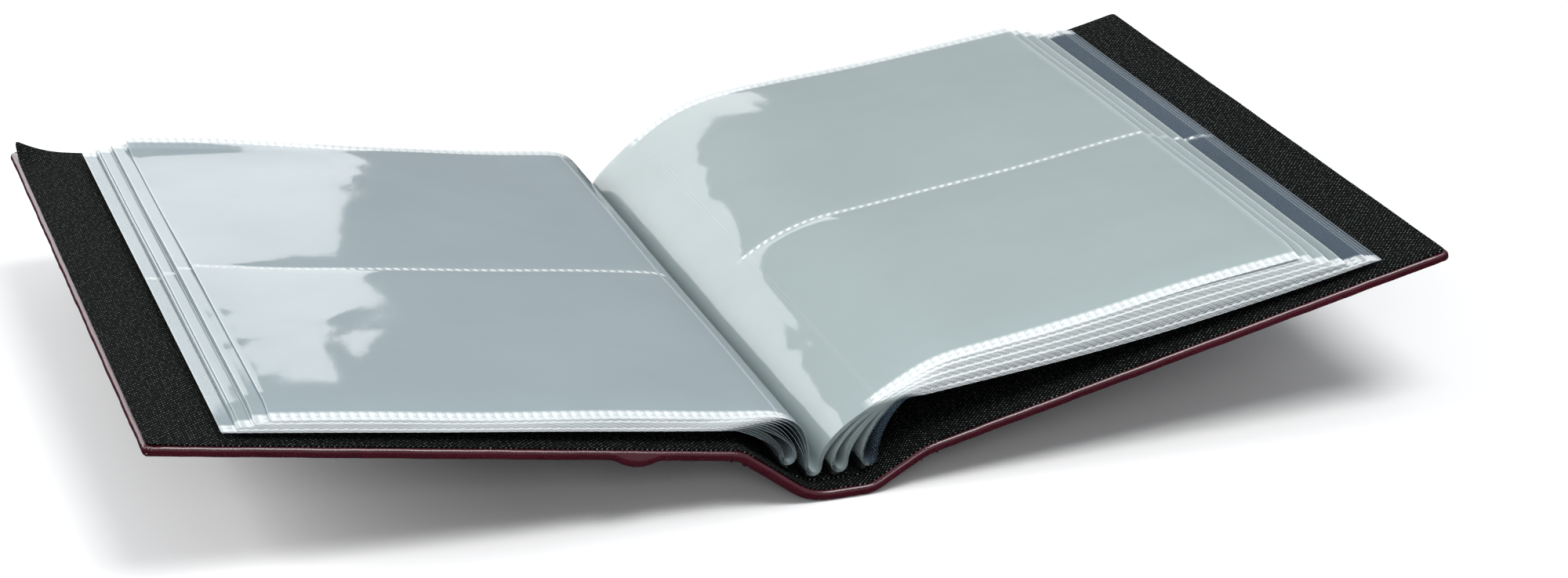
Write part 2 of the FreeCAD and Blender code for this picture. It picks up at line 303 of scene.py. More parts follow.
def trayPoints(cover, hasBand):
    # open loops round the three free sides of a cover, one for each profile point: foot edge,
    # corner, fore-edge, corner, head edge. A corner point is the corner's centre plus its radius
    # times a sine and a cosine, and a wave moves each point out along (nu, ny)
    w = leatherWork
    fineFrom, fineTo = 22, 47   # millimetres from the hinge line, closer set over the band
    near = np.concatenate([np.arange(3, fineFrom, 2.4), np.arange(fineFrom, fineTo, 0.85)]) * mm
    far = np.linspace(0, 1, 44)
    corner = np.radians(np.linspace(0, 90, 30))
    rise = np.linspace(-1, 1, 90)[1:-1]
    insets = profileInset[:, None]
    shares = profileShare[:, None]
    base = np.maximum(insets, w["cornerRadius"])
    radius = np.maximum(w["cornerRadius"] - insets, 0)
    centreU = cover["width"] - base - (1 - shares) * w["underInset"]
    centreY = bookHalf - base
    rest = centreU - fineTo * mm
    nearRow = np.repeat(near[None, :], len(profileInset), 0)
    footU = np.concatenate([nearRow, fineTo * mm + far[None, :] * rest], 1)
    flat = np.ones_like(footU)
    cos, sin = np.cos(corner)[None, :], np.sin(corner)[None, :]
    one = np.ones((len(profileInset), 1))
    u = np.concatenate([footU, centreU + radius * sin, centreU + radius + 0 * rise[None, :],
                        centreU + radius * cos, footU[:, ::-1]], 1)
    y = np.concatenate([-(centreY + radius) * flat, -centreY - radius * cos,
                        centreY * rise[None, :], centreY + radius * sin,
                        (centreY + radius) * flat], 1) * shares
    nu = np.concatenate([0 * flat, sin * one, 1 + 0 * rise[None, :] * one, cos * one,
                         0 * flat], 1)
    ny = np.concatenate([-flat, -cos * one, 0 * rise[None, :] * one, sin * one, flat], 1)
    d = profileDepth[:, None] + 0 * u
    edge = onEdge[:, None]
    x = cover["hinge"][0] + cover["side"] * u
    foot = np.where(ny < -0.5, -1.0, 1.0)
    along = np.where(np.abs(nu) > 0.7, y, x)
    wave = ripple(along, foot + 1.5) * edge * w["ripple"]
    fold = np.sin(np.arctan2(nu, np.abs(ny)) * w["pleatRate"]) * (np.abs(nu * ny) * 2) ** 0.5
    wave = wave + fold * w["pleat"] * edge
    if hasBand:
        hump = bandBump(u) * w["bandHeight"]
        down = smoothStep(caseBook["thickness"] - w["edgeRadius"] * 1.6,
                          caseBook["thickness"] - w["edgeRadius"] * 0.4, d)
        sideways = smoothStep(0.9 * mm, 2.2 * mm, d) * (profileShare[:, None] >= 1)
        d = d + hump * down * (0.6 + 0.4 * (profileShare[:, None] < 1))
        wave = wave + hump * 0.35 * sideways * (np.abs(nu) < 0.1)
    u = u + nu * wave
    y = y + ny * wave
    d = d + wave * 0.6 * edge
    return u, y, d


def fromCover(cover, u, y, d):
    # cover coordinates: out along the cover, along the book, depth below the lining surface
    x = cover["hinge"][0] + u * cover["out"][0] - d * cover["up"][0]
    z = cover["hinge"][1] + u * cover["out"][1] - d * cover["up"][1]
    return np.stack([x, y, z], -1)


def coverLeather(name, cover, hasBand):
    u, y, d = trayPoints(cover, hasBand)
    rows, columns = u.shape
    faces = gridFaces(rows, columns)
    j = np.arange(columns // 2 - 1)
    mate = columns - 1 - j
    faces += np.stack([j, j + 1, mate - 1, mate], -1).tolist()   # closes the underside
    middle = fromCover(cover, np.array(80 * mm), np.array(0.0), np.array(2 * mm))
    piece = meshPiece(name, fromCover(cover, u, y, d), faces, middle)
    giveThickness(piece, leatherWork["thickness"])
    return settle(piece)


leathers = {
    "front_cover": coverLeather("front_leather", frontCover, True),
    "back_cover": coverLeather("back_leather", backCover, False),
    **{where: caseStrip(where + "_leather", runs[where])
       for where in ("spine", "front_hinge", "back_hinge")},
}
print("leatherette done")


# Woven lining, sheets glued to the inside of the case
liningWork = {
    "margin": 1.0 * mm,
    "cornerRadius": 1.6 * mm,
    "unevenness": 0.10 * mm,
    "curlHeight": 3.2 * mm,
    "curlReach": 16.0 * mm,
}


def liningStrip(name, run, startS):
    # a flat sheet carried along a run of the case, with its own length as UV
    points, normals = run
    s = startS + lengthAlong(points)
    edge = bookHalf - liningWork["margin"]
    y = np.linspace(-edge, edge, 61)
    grid = carried(points, y)
    middle = points.mean(0) - normals.mean(0) * 30 * mm
    piece = meshPiece(name, grid, gridFaces(*grid.shape[:2]), (middle[0], 0, middle[1]))
    putUv(piece, np.repeat(s[:, None], len(y), 1), grid[..., 1])
    giveThickness(piece, caseBook["liningThickness"])
    return settle(piece), s[-1]


def coverLining(name, cover, curls):
    # rounded-corner sheet on a cover: within the corner radius r of the fore-edge, a row that
    # lies x into the corner is shorter by r - sqrt(r * r - x * x) at each end
    w = liningWork
    rows = np.array([9, 7, 5, 4, 3.2, 2.6, 2.2, 1.8, 1.5, 1.3, 1.15, 1.0]) * mm
    u = np.concatenate([np.linspace(half, cover["width"] - 12 * mm, 60), cover["width"] - rows])
    end = cover["width"] - w["margin"]
    into = np.clip(u - (end - w["cornerRadius"]), 0, w["cornerRadius"])
    shorter = w["cornerRadius"] - np.sqrt(w["cornerRadius"] ** 2 - into ** 2)
    edge = bookHalf - w["margin"] - shorter
    quarter = math.pi / 2 * 0.96   # rows are set closer towards foot and head
    t = np.sin(np.linspace(-1, 1, 121) * quarter) / math.sin(quarter)
    y = edge[:, None] * t[None, :]
    uu = np.repeat(u[:, None], len(t), 1)
    nearEdge = smoothStep(cover["width"] - 14 * mm, end, uu)
    lift = w["unevenness"] * nearEdge * (1 + np.sin(y * 95) * np.sin(y * 41 + 1))
    if curls:
        toCorner = np.hypot(end - uu, bookHalf - w["margin"] - y)
        near = np.clip(1 - toCorner / w["curlReach"], 0, 1)
        lift = lift + w["curlHeight"] * near ** 2
    piece = meshPiece(name, fromCover(cover, uu, y, -lift), gridFaces(*uu.shape),
                      fromCover(cover, np.array(80 * mm), np.array(0.0), np.array(40 * mm)))
    putUv(piece, cover["side"] * uu, y)
    giveThickness(piece, caseBook["liningThickness"])
    return settle(piece)


cloths = {
    "front_cover": coverLining("front_cloth", frontCover, True),
    "back_cover": coverLining("back_cloth", backCover, False),
}
lengthSoFar = -half
for where in ("front_hinge", "spine", "back_hinge"):
    cloths[where], lengthSoFar = liningStrip(where + "_cloth", runs[where], lengthSoFar)


# Foam under the leatherette, thin pads with rounded edges
padWork = {
    "top": 2.12 * mm,
    "bottom": 3.02 * mm,
    "inset": 0.75 * mm,
    "hingeGap": 0.4 * mm,
    "rim": 1.2 * mm,
    "crown": 0.06 * mm,
    "crownReach": 30.0 * mm,
    "thinnest": 0.03 * mm,
}


def coverPad(name, cover):
    # two faces joined by a rounded rim, a little fuller in the middle: the half thickness is
    # that of a quarter circle near the rim, sqrt(1 - (1 - distance / rim) squared)
    w = padWork
    middleDepth = (w["top"] + w["bottom"]) / 2
    halfDepth = (w["bottom"] - w["top"]) / 2
    a = np.linspace(0, 1, 40)
    start, end = half + w["hingeGap"], cover["width"] - w["inset"]
    u = start + a * (end - start)
    y = np.linspace(-1, 1, 60) * (bookHalf - w["inset"])
    uu, yy = np.meshgrid(u, y, indexing="ij")
    away = np.minimum(np.minimum(end - uu, uu - start), bookHalf - w["inset"] - np.abs(yy))
    inward = np.clip(away / w["rim"], 0, 1)
    full = halfDepth * np.sqrt(np.clip(1 - (1 - inward) ** 2, 0.02, 1))
    full = full - w["crown"] * (1 - smoothStep(0, w["crownReach"], away))
    full = np.maximum(full, w["thinnest"])
    return closedSlab(name, fromCover(cover, uu, yy, middleDepth - full),
                      fromCover(cover, uu, yy, middleDepth + full))


def slabFaces(rows, columns):
    # faces of two grids, top then bottom, with the four sides closed
    count = rows * columns
    index = np.arange(count).reshape(rows, columns)
    faces = gridFaces(rows, columns)
    faces += [face[::-1] for face in gridFaces(rows, columns, count)]
    for line, flip in ((index[0], False), (index[-1], True),
                       (index[:, 0], True), (index[:, -1], False)):
        quads = np.stack([line[:-1], line[1:], line[1:] + count, line[:-1] + count], -1)
        faces += (quads[:, ::-1] if flip else quads).tolist()
    return faces


def closedSlab(name, top, bottom):
    points = np.concatenate([top.reshape(-1, 3), bottom.reshape(-1, 3)])
    return settle(meshPiece(name, points, slabFaces(*top.shape[:2]), points.mean(0)), 60)


def spinePad(name):
    points, normals = runs["spine"]
    w = padWork
    y = np.linspace(-1, 1, 60) * (bookHalf - w["inset"])
    top, bottom = (carried(points - w[depth] * normals, y) for depth in ("top", "bottom"))
    return closedSlab(name, top, bottom)


pads = {
    "front_cover": coverPad("front_pad", frontCover),
    "back_cover": coverPad("back_pad", backCover),
    "spine": spinePad("spine_pad"),
}


# Core strip under the raised band
coreWork = {"inset": 1.6 * mm, "depth": 3.04 * mm, "slack": 0.1 * mm, "thinnest": 0.02 * mm}


def bandCore(name, cover):
    # lens section carried along the book: its height follows the hump of the leatherette
    t = np.linspace(-1, 1, 25)
    u = leatherWork["bandFrom"] + (t + 1) / 2 * leatherWork["bandWidth"]
    y = np.linspace(-1, 1, 40) * (bookHalf - coreWork["inset"])
    uu, yy = np.meshgrid(u, y, indexing="ij")
    high = np.clip(bandBump(uu) * leatherWork["bandHeight"] - coreWork["slack"],
                   coreWork["thinnest"], None)
    base = coreWork["depth"] + 0 * uu
    return closedSlab(name, fromCover(cover, uu, yy, base), fromCover(cover, uu, yy, base + high))


frontBandCore = bandCore("front_band_core", frontCover)


# Cloth tape that the folded sections are glued to
tapeWork = {"reach": 5.5 * mm, "thickness": 0.45 * mm, "gap": 0.03 * mm, "steps": 80}


def bindingStrip(name):
    left = floorA + tapeWork["reach"] * unit(frontCover["hinge"] - floorA)
    right = floorB + tapeWork["reach"] * unit(backCover["hinge"] - floorB)
    points, normals = roundedRun([left, floorA, floorB, right],
                                 [caseBook["frontBend"], caseBook["backBend"]], 1.0 * mm)
    low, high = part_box("binding_tape")
    y = np.linspace(low.y, high.y, tapeWork["steps"])
    grid = carried(points + (tapeWork["thickness"] + tapeWork["gap"]) * normals, y)
    piece = meshPiece(name, grid, gridFaces(*grid.shape[:2]), (0, 0, floorLevel - 40 * mm))
    s = lengthAlong(points)
    putUv(piece, np.repeat(s[:, None], len(y), 1), grid[..., 1])
    giveThickness(piece, tapeWork["thickness"])
    return settle(piece), float(s[-1]), float(high.y - low.y)


tapeStrip, tapeWidth, tapeLength = bindingStrip("binding_strip")
print("pads, band core and tape done")


# Film leaves: each runs from the fold of its section, over its bend, to its fore-edge
filmWork = {
    "leftCount": 12,
    "rightCount": 20,
    "foldX": [-12.7 * mm, -5.1 * mm, 2.7 * mm, 11.6 * mm],
    "foldHalfWidth": 0.8 * mm,
    "foldBelly": 2.6 * mm,
    "foldFlare": 0.7 * mm,
    "flatStart": 6.0 * mm,
    "flatRatio": 2.9,
    "nestStep": 0.32 * mm,
    "sheet": 0.06 * mm,
    "leaf": 0.16 * mm,
    "mouth": 6.0 * mm,
    "weld": 3.0 * mm,
    "pillow": 1.15 * mm,
    "wave": 0.55 * mm,
    "footDroop": 1.5 * mm,
    "droopReach": 11.0 * mm,
    "footFan": {-1: 1.68 * mm, 1: 4.2 * mm},
    "fanGroups": {-1: 2, 1: 4},
    "fanReach": 40.0 * mm,
    "twist": 2.4 * mm,
    "cornerLift": 1.5 * mm,
    "edgeLift": 0.8 * mm,
    "clearLeaves": 4,
    "clearReach": 7.0 * mm,
    "lowSag": 2.6 * mm,
    "uneven": 0.3 * mm,
    "bunching": 11.0 * mm,
    "turnBefore": 6.0 * mm,
    "turnAfter": 3.0 * mm,
    "dotPitch": 2.7 * mm,
    "dotInset": 1.0 * mm,
    "secondRow": 3.1 * mm,
    "dotSize": (1.2 * mm, 0.85 * mm, 0.3 * mm),
    "dotLean": 0.75,
    "milk": {-1: (0.58, 0.08, 1, 7), 1: (0.2, 0.44, 3.2, 8)},
}
leafCount = filmWork["leftCount"] + filmWork["rightCount"]
sectionLeaves = leafCount // len(filmWork["foldX"])
leafLow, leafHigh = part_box("leaf_01")
leafFoot, leafHead = leafLow.y, leafHigh.y
leafMiddle = (leafFoot + leafHead) / 2


def hermite(p0, m0, p1, m1, count):
    # cubic from p0 to p1 leaving along m0 and arriving along m1, last point left out
    t = np.linspace(0, 1, count + 1)[:-1, None]
    return ((2 * t ** 3 - 3 * t ** 2 + 1) * p0 + (t ** 3 - 2 * t ** 2 + t) * m0
            + (3 * t ** 2 - 2 * t ** 3) * p1 + (t ** 3 - t ** 2) * m1)


def leafPlace(number):
    # bend point, directions, length and rise of a leaf, read from its joint and its box
    w = filmWork
    side = -1 if number <= w["leftCount"] else 1
    name = "leaf_%02d" % number
    joint = joints[name + "_turn"]
    coupling = couplings[name + "_turn"]
    slope = math.radians(90 - coupling["ratio"] * joints[coupling["follows"]]["range_deg"][1])
    bend = np.array([joint["pos_m"][0], joint["pos_m"][2]])
    low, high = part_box(name)
    c, s = math.cos(slope), math.sin(slope)
    reach = (high.x if side > 0 else -low.x) - side * bend[0]
    climb = high.z - bend[1]
    under, over = w["sheet"] / 2, w["leaf"] - w["sheet"] / 2
    length = reach * c + climb * s - (under + over) * s * c
    rise = climb * c - reach * s + under * s * s - over * c * c
    if side < 0:
        share = (number - 1) / (w["leftCount"] - 1)
    else:
        share = (leafCount - number) / (w["rightCount"] - 1)
    # the lowest leaves of the back stack reach out further, the others end in loose groups
    level = share * (w["rightCount"] - 1)
    bunch = share if side < 0 else (level - w["clearLeaves"]) / (
        w["rightCount"] - 1 - w["clearLeaves"])
    if bunch >= 0:
        length += w["bunching"] * (bunch - round(bunch * 3) / 3)
        length -= w["uneven"] * (1 + math.sin(number * 2.4))
    if side > 0 and bunch >= 0:
        length -= w["clearReach"] * (1 - share)
    return {"name": name, "number": number, "side": side, "bend": bend, "length": length,
            "rise": rise, "out": np.array([side * c, s]), "up": np.array([-side * s, c]),
            "share": share}


def foldTip(leaf):
    # lowest point of the leaf's fold, and the side that it leaves on
    w = filmWork
    section, order = divmod(leaf["number"] - 1, sectionLeaves)
    nest = min(order, sectionLeaves - 1 - order)
    leaving = -1.0 if nest == order else 1.0
    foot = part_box("section_%d_folds" % (section + 1))[0].z + w["sheet"] / 2
    inner = nest * w["nestStep"]
    width = w["foldHalfWidth"] + (sectionLeaves // 2 - 1 - nest) * w["nestStep"]
    tip = np.array([w["foldX"][section], foot + inner])
    belly = tip + np.array([leaving * (width + w["foldFlare"]), w["foldBelly"]])
    return tip, belly, leaving, width


def leafLine(leaf):
    # fold, bend and flat of a leaf as one smooth line: cubics joined end to end
    w = filmWork
    tip, belly, leaving, width = foldTip(leaf)
    foldSteps, riseSteps, rollSteps, flatSteps = 40, 120, 160, 200
    bend, out, up = leaf["bend"], leaf["out"], leaf["up"]
    settleAt = leaf["rise"] * w["flatRatio"] + w["flatStart"]
    flat = bend + settleAt * out + leaf["rise"] * up
    end = bend + leaf["length"] * out + leaf["rise"] * up
    overBend = unit(unit(bend - belly) + unit(flat - bend))
    rising = np.linalg.norm(bend - belly)
    rolling = np.linalg.norm(flat - bend)
    first = hermite(tip, np.array([leaving * width * 2.6, 0]), belly,
                    np.array([0, w["foldBelly"] * 1.4]), foldSteps)
    second = hermite(belly, np.array([0, rising * 0.8]), bend, overBend * rising, riseSteps)
    third = hermite(bend, overBend * rolling, flat, out * rolling, rollSteps)
    fourth = flat + np.linspace(0, 1, flatSteps)[:, None] * (end - flat)
    line = np.concatenate([first, second, third, fourth])
    along = lengthAlong(line)
    along -= along[foldSteps + riseSteps]
    return line, along


def leafLift(leaf, u, y):
    # height added to a leaf: a pillow on each pocket, the root of a sine both ways, three
    # long waves shared by its stack, in radians per metre, and a drooping foot
    w = filmWork
    side, share = leaf["side"], leaf["share"]
    depth = leaf["reachU"]
    weld = w["weld"]
    inFoot = np.clip((y - leafFoot - weld) / (leafMiddle - weld / 2 - leafFoot - weld), 0, 1)
    inHead = np.clip((y - leafMiddle - weld / 2) / (leafHead - weld - leafMiddle - weld / 2), 0, 1)
    swell = np.sin(math.pi * inFoot) ** 0.55 + np.sin(math.pi * inHead) ** 0.55
    along = np.clip((u - 2 * mm) / (depth - 4 * mm), 0, 1)
    lift = w["pillow"] * (0.25 + 0.75 * share) * swell * np.sin(math.pi * along) ** 0.5
    calm = smoothStep(-14 * mm, 18 * mm, u)
    wave = (0.55 * np.sin(52 * u + 0.9 * side) * np.cos(17 * y + 0.7)
            + 0.3 * np.sin(95 * u - 31 * y + side) + 0.25 * np.sin(23 * u + 64 * y + 2 * side))
    lift = lift + w["wave"] * (0.2 + 0.8 * share) * wave * calm
    if side > 0:
        lift = lift - w["lowSag"] * (1 - share) ** 2 * np.sin(math.pi * along)
        towards = smoothStep(-10 * mm, 20 * mm, u) * (1 - smoothStep(30 * mm, 120 * mm, u))
        lift = lift + share * w["twist"] * towards * (y - leafMiddle) / leafHead
    droop = 1 - smoothStep(leafFoot, leafFoot + w["droopReach"], y)
    droop = droop * smoothStep(0, 25 * mm, u)
    lift = lift - share * w["footDroop"] * droop
    if leaf["number"] == w["leftCount"]:
        corner = smoothStep(leafHead - 17 * mm, leafHead, y) * smoothStep(60 * mm, 130 * mm, u)
        lift = lift + w["cornerLift"] * corner
    if leaf["number"] == w["leftCount"] + 1:
        lift = lift + w["edgeLift"] * smoothStep(80 * mm, depth, u)
    return lift


def atLine(leaf, u):
    # point and upward normal of the leaf's line at a distance from its bend
    line, along = leaf["line"], leaf["along"]
    x = np.interp(u, along, line[:, 0])
    z = np.interp(u, along, line[:, 1])
    direction = np.gradient(line, along, axis=0)
    direction /= np.linalg.norm(direction, axis=1)[:, None]
    dx = np.interp(u, along, direction[:, 0])
    dz = np.interp(u, along, direction[:, 1])
    size = np.hypot(dx, dz)
    return x, z, -leaf["side"] * dz / size, leaf["side"] * dx / size


def leafSurface(leaf, u, y, offset):
    w = filmWork
    x, z, nx, nz = atLine(leaf, u)
    lift = leafLift(leaf, u, y) + offset
    # the upper leaves end a little short of the lower ones at the foot, in loose groups
    groups = w["fanGroups"][leaf["side"]]
    grouped = round(leaf["share"] * groups) / groups
    fan = w["footFan"][leaf["side"]] * (0.85 * grouped + 0.15 * leaf["share"])
    atFoot = 1 - smoothStep(leafFoot, leafFoot + w["fanReach"], y)
    slipped = y + fan * atFoot * smoothStep(0, 25 * mm, u)
    return np.stack([x + nx * lift, slipped, z + nz * lift], -1)


def leafMilk(leaf):
    # how far a leaf hides what lies under it, least for those against the covers
    level = leaf["share"] * (filmWork["leftCount" if leaf["side"] < 0 else "rightCount"] - 1)
    least, more, low, high = filmWork["milk"][leaf["side"]]
    return least + more * smoothStep(low, high, level)


def leafFilm(number):
    # closed slab on the leaf's line, a step thicker from the pocket mouth outwards, with rows
    # of leaning weld dots along foot, middle and head
    w = filmWork
    leaf = leafPlace(number)
    leaf["line"], leaf["along"] = leafLine(leaf)
    leaf["reachU"] = leaf["along"][-1]
    end = leaf["reachU"]
    mouth = w["mouth"]
    start = leaf["along"][0]
    u = np.concatenate([start + np.array([0, 0.5, 1.0, 1.6, 2.3, 3.1]) * mm,
                        np.linspace(start + 4 * mm, -1 * mm, 14),
                        np.linspace(0.5 * mm, mouth - 0.8 * mm, 4),
                        [mouth - 0.02 * mm, mouth + 0.02 * mm],
                        np.linspace(mouth + 2 * mm, end - 2.2 * mm, 44),
                        [end - 1.6 * mm, end - 1.2 * mm, end - 0.5 * mm, end]])
    fromFoot = np.array([0, 0.6, 1.6, 2.7, 3.4, 4.6, 7, 11, 17, 26, 38, 52, 66, 79, 90, 98,
                         104, 107.5, 110, 111.6, 112.6, 113.3]) * mm
    y = np.concatenate([leafFoot + fromFoot, [leafMiddle], leafHead - fromFoot[::-1]])
    uu, yy = np.meshgrid(u, y, indexing="ij")
    thick = np.where(uu > mouth, w["leaf"], w["sheet"]) - w["sheet"] / 2
    top = leafSurface(leaf, uu, yy, thick).reshape(-1, 3)
    bottom = leafSurface(leaf, uu, yy, -w["sheet"] / 2).reshape(-1, 3)
    faces = slabFaces(len(u), len(y))
    if leaf["side"] < 0:
        faces = [face[::-1] for face in faces]
    slabCount = len(faces)
    dots, dotFaces, dotU, dotY = weldDots(leaf, len(top) * 2)
    points = np.concatenate([top, bottom, dots])
    piece = meshPiece(leaf["name"] + "_film", points, faces + dotFaces)
    allU = np.concatenate([uu.ravel(), uu.ravel(), dotU])
    allY = np.concatenate([yy.ravel(), yy.ravel(), dotY])
    putUv(piece, allU, allY)
    fromEdge = piece.data.attributes.new("fromEdge", "FLOAT", "POINT")
    fromEdge.data.foreach_set("value", (end - allU).astype(np.float32))
    milk = piece.data.attributes.new("milk", "FLOAT", "POINT")
    milk.data.foreach_set("value", np.full(len(allU), leafMilk(leaf), np.float32))
    index = np.zeros(slabCount + len(dotFaces), np.int32)
    index[slabCount:] = 1
    piece.data.materials.append(None)
    piece.data.materials.append(None)
    piece.data.polygons.foreach_set("material_index", index)
    settle(piece, 50)
    return piece, leaf


def weldDots(leaf, firstPoint):
    # low domes along foot, middle and head: a ring of points on a leaning ellipse, with one
    # point above and one below
    w = filmWork
    ringCount = 8
    long, wide, high = w["dotSize"]
    inset = w["dotInset"]
    along = np.arange(w["mouth"] - 1 * mm, leaf["reachU"] - 1.2 * mm, w["dotPitch"])
    second = w["secondRow"]
    rows = np.array([leafFoot + inset, leafFoot + second, leafMiddle,
                     leafHead - second, leafHead - inset])
    uu, yy = np.meshgrid(along, rows, indexing="ij")
    uu, yy = uu.ravel(), yy.ravel()
    size = np.where(np.isin(yy, rows[[1, 3]]), 0.62, 1.0)[:, None]
    wobble = np.sin(uu * 9000 + yy * 3000 + leaf["number"]) * 0.12
    lean = w["dotLean"] * leaf["side"] + wobble
    around = np.linspace(0, 2 * math.pi, ringCount + 1)[:-1]
    a = long * np.cos(around)[None, :] * (1 + 0.4 * wobble[:, None]) * size
    b = wide * np.sin(around)[None, :] * size
    du = a * np.cos(lean)[:, None] - b * np.sin(lean)[:, None]
    dy = a * np.sin(lean)[:, None] + b * np.cos(lean)[:, None]
    ringU, ringY = uu[:, None] + du, yy[:, None] + dy * leaf["side"]
    ringU = np.minimum(ringU, leaf["reachU"] - 0.1 * mm)
    ringHeight = w["leaf"] * 0.6
    allU = np.concatenate([ringU, uu[:, None], uu[:, None]], 1)
    allY = np.concatenate([ringY, yy[:, None], yy[:, None]], 1)
    offset = np.full(allU.shape, ringHeight)
    offset[:, ringCount] += high
    offset[:, ringCount + 1] -= high * 0.9
    points = leafSurface(leaf, allU, allY, offset).reshape(-1, 3)
    ring = np.arange(ringCount)
    after = (ring + 1) % ringCount
    one = np.stack([np.concatenate([ring, after]), np.concatenate([after, ring]),
                    np.repeat([ringCount, ringCount + 1], ringCount)], -1)
    faces = firstPoint + np.arange(len(uu))[:, None, None] * (ringCount + 2) + one[None]
    return points, faces.reshape(-1, 3).tolist(), allU.ravel(), allY.ravel()


films = [leafFilm(number) for number in range(1, leafCount + 1)]
print("leaves done:", len(films))


# Shader helpers
def plug(tree, node, inputs):
    # each input takes a link from another node, or a plain value
    for key, value in inputs.items():
        if isinstance(value, bpy.types.NodeSocket):
            tree.links.new(value, node.inputs[key])
        else:
            node.inputs[key].default_value = value
    return node


def addNode(tree, kind, inputs=None, **settings):
    node = tree.nodes.new(kind)
    for key, value in settings.items():
        setattr(node, key, value)
    return plug(tree, node, inputs or {})


def noise(tree, place, scale, detail=2.0, output="Fac", **more):
    inputs = {"Vector": place, "Scale": scale, "Detail": detail, **more}
    return addNode(tree, "ShaderNodeTexNoise", inputs).outputs[output]


def shifted(tree, place, scale, detail, reach):
    # a place moved about by noise, up to reach in metres
    drift = addNode(tree, "ShaderNodeVectorMath",
                    {0: noise(tree, place, scale, detail, "Color"), 1: (reach,) * 3},
                    operation="MULTIPLY")
    return addNode(tree, "ShaderNodeVectorMath", {0: place, 1: drift.outputs[0]}).outputs[0]


def calc(tree, operation, a, b=None, c=None):
    inputs = {0: a}
    if b is not None:
        inputs[1] = b
    if c is not None:
        inputs[2] = c
    return addNode(tree, "ShaderNodeMath", inputs, operation=operation).outputs[0]


def blendColour(tree, factor, a, b):
    node = addNode(tree, "ShaderNodeMix", {0: factor, 6: a, 7: b}, data_type="RGBA")
    return node.outputs[2]


def remap(tree, value, low, high, toLow=0.0, toHigh=1.0):
    return addNode(tree, "ShaderNodeMapRange",
                   {0: value, 1: low, 2: high, 3: toLow, 4: toHigh}).outputs[0]


def makeGroup(name, dial, value, outs):
    # a group that takes a place and one number, and puts out a number for each name
    group = bpy.data.node_groups.new(name, "ShaderNodeTree")
    group.interface.new_socket("Vector", in_out="INPUT", socket_type="NodeSocketVector")
    made = group.interface.new_socket(dial, in_out="INPUT", socket_type="NodeSocketFloat")
    made.default_value = value
    for socket in outs:
        group.interface.new_socket(socket, in_out="OUTPUT", socket_type="NodeSocketFloat")
    entry = group.nodes.new("NodeGroupInput").outputs
    return group, entry["Vector"], entry[dial], group.nodes.new("NodeGroupOutput")


def useGroup(tree, group, inputs):
    return addNode(tree, "ShaderNodeGroup", inputs, node_tree=group).outputs


def leatherGrainGroup():
    # pebbled cells broken up by fine noise, with slow changes of shade
    g, place, cells, leave = makeGroup("leatherGrain", "Cells", 1300.0,
                                       ("Height", "Shade", "Pores"))
    moved = shifted(g, place, 260.0, 3.0, 1.6 * mm)
    edges = addNode(g, "ShaderNodeTexVoronoi", {"Vector": moved, "Scale": cells},
                    feature="DISTANCE_TO_EDGE")
    pebble = remap(g, edges.outputs["Distance"], 0.0, 0.22)
    plug(g, leave, {
        "Height": calc(g, "MULTIPLY_ADD", noise(g, place, 2400.0, 4.0), 0.35, pebble),
        "Shade": noise(g, place, 38.0, 4.0),
        "Pores": calc(g, "SUBTRACT", 1.0, pebble),
    })
    return g


def clothWeaveGroup():
    # plain weave: the product of two sines gives threads that pass over and under in turn
    g, place, pitch, leave = makeGroup("clothWeave", "Pitch", 1.04 * mm,
                                       ("Height", "Over", "Gap", "Lint"))
    axes = addNode(g, "ShaderNodeSeparateXYZ", {0: shifted(g, place, 55.0, 2.0, 0.9 * mm)})
    rate = calc(g, "DIVIDE", math.pi, pitch)
    across, down = (calc(g, "SINE", calc(g, "MULTIPLY", axes.outputs[k], rate)) for k in (0, 1))
    over = calc(g, "MULTIPLY", across, down)
    thread = calc(g, "POWER", calc(g, "ABSOLUTE", over), 0.6)
    lint = addNode(g, "ShaderNodeTexVoronoi", {"Vector": place, "Scale": 420.0})
    plug(g, leave, {
        "Height": calc(g, "MULTIPLY_ADD", noise(g, place, 5200.0, 3.0), 0.3, thread),
        "Over": over,
        # mask of the painted shade: 1 in the gaps between the threads
        "Gap": remap(g, thread, 0.0, 0.35, 1.0, 0.0),
        "Lint": remap(g, lint.outputs["Distance"], 0.02, 0.16, 1.0, 0.0),
    })
    return g


def filmSurfaceGroup():
    # slow buckles with a few sharper creases, and a faint cloudy haze
    g, place, buckle, leave = makeGroup("filmSurface", "Buckle", 16.0,
                                        ("Height", "Haze", "Scuff"))
    slow = noise(g, place, buckle, 2.0, Roughness=0.4, Distortion=0.5)
    plug(g, leave, {
        "Height": calc(g, "MULTIPLY_ADD", noise(g, place, 95.0, 3.0, Roughness=0.55), 0.012, slow),
        "Haze": noise(g, place, 22.0, 5.0),
        "Scuff": noise(g, place, 700.0, 5.0),
    })
    return g


leatherGrain = leatherGrainGroup()
clothWeave = clothWeaveGroup()
filmSurface = filmSurfaceGroup()


def newMaterial(name):
    material = bpy.data.materials.new(name)
    material.use_nodes = True
    tree = material.node_tree
    return material, tree, tree.nodes["Principled BSDF"]


def objectPlace(tree):
    return tree.nodes.new("ShaderNodeTexCoord").outputs["Object"]


def addBump(tree, shader, height, distance, strength=1.0):
    bump = addNode(tree, "ShaderNodeBump", {"Height": height, "Distance": distance,
                                            "Strength": strength})
    tree.links.new(bump.outputs[0], shader.inputs["Normal"])


leatherLook = {
    "cells": 1300.0,
    "dark": (0.034, 0.0018, 0.0064, 1),
    "light": (0.052, 0.0028, 0.0098, 1),
    "pores": (0.026, 0.0015, 0.005, 1),
    "poreShare": 0.45,
    "roughness": (0.17, 0.3),
    "coat": (0.3, 0.1),
    "grainDepth": 0.03 * mm,
}


